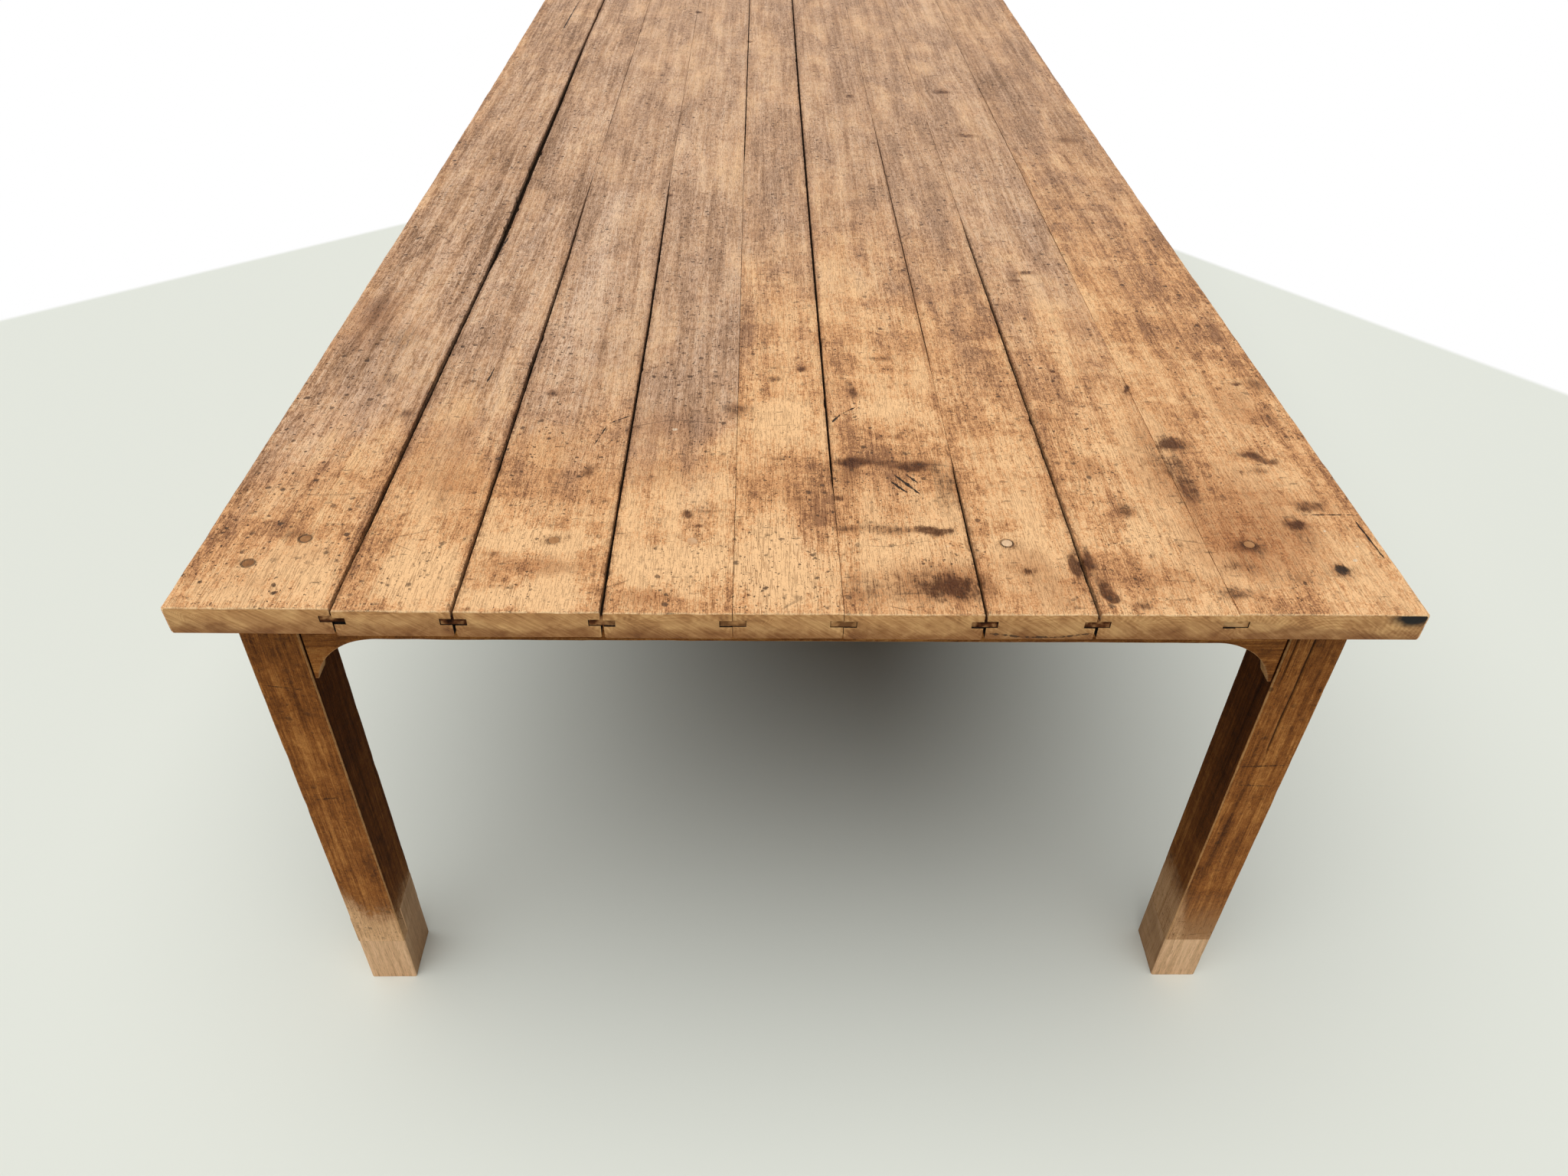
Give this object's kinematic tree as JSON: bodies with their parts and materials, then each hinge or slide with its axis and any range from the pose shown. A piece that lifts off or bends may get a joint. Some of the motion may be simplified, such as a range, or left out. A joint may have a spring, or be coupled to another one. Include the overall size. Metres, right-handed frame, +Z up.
{
  "type": "farmhouse table",
  "caption": "Long farmhouse dining table: worn plank top on loose tongues over a mortised frame with arched aprons and spliced square legs.",
  "frame": {"origin": "on the floor under the middle of the top", "axes": "+X across the table to the right, +Y along it from the near end to the far end, +Z up"},
  "size_m": [1.3058, 3, 0.77],
  "materials": {
    "worn_top_oak": "worn waxed",
    "tongue_oak": "stained, bare",
    "old_frame_oak": "old waxed",
    "new_foot_oak": "planed, waxed",
    "bearer_oak": "sawn, bare",
    "peg_oak": "end grain, bare",
    "nail_iron": "rusted, dull"
  },
  "bodies": {
    "root": {"board_1": "worn_top_oak", "board_2": "worn_top_oak", "board_3": "worn_top_oak", "board_4": "worn_top_oak", "board_5": "worn_top_oak", "board_6": "worn_top_oak", "board_7": "worn_top_oak", "board_8": "worn_top_oak", "board_9": "worn_top_oak", "tongue_1": "tongue_oak", "tongue_2": "tongue_oak", "tongue_3": "tongue_oak", "tongue_4": "tongue_oak", "tongue_5": "tongue_oak", "tongue_6": "tongue_oak", "tongue_7": "tongue_oak", "tongue_8": "tongue_oak", "leg_near_left": "old_frame_oak", "leg_near_right": "old_frame_oak", "leg_far_left": "old_frame_oak", "leg_far_right": "old_frame_oak", "end_apron_near": "old_frame_oak", "end_apron_far": "old_frame_oak", "side_apron_left": "old_frame_oak", "side_apron_right": "old_frame_oak", "foot_near_left": "new_foot_oak", "foot_near_right": "new_foot_oak", "foot_far_left": "new_foot_oak", "foot_far_right": "new_foot_oak", "end_bearer_near": "bearer_oak", "end_bearer_far": "bearer_oak", "mid_bearer_1": "bearer_oak", "mid_bearer_2": "bearer_oak", "mid_bearer_3": "bearer_oak", "top_pegs": "peg_oak", "foot_tenons": "peg_oak", "bearer_nails": "nail_iron", "cleat_nails": "nail_iron"}
  },
  "joints": []
}
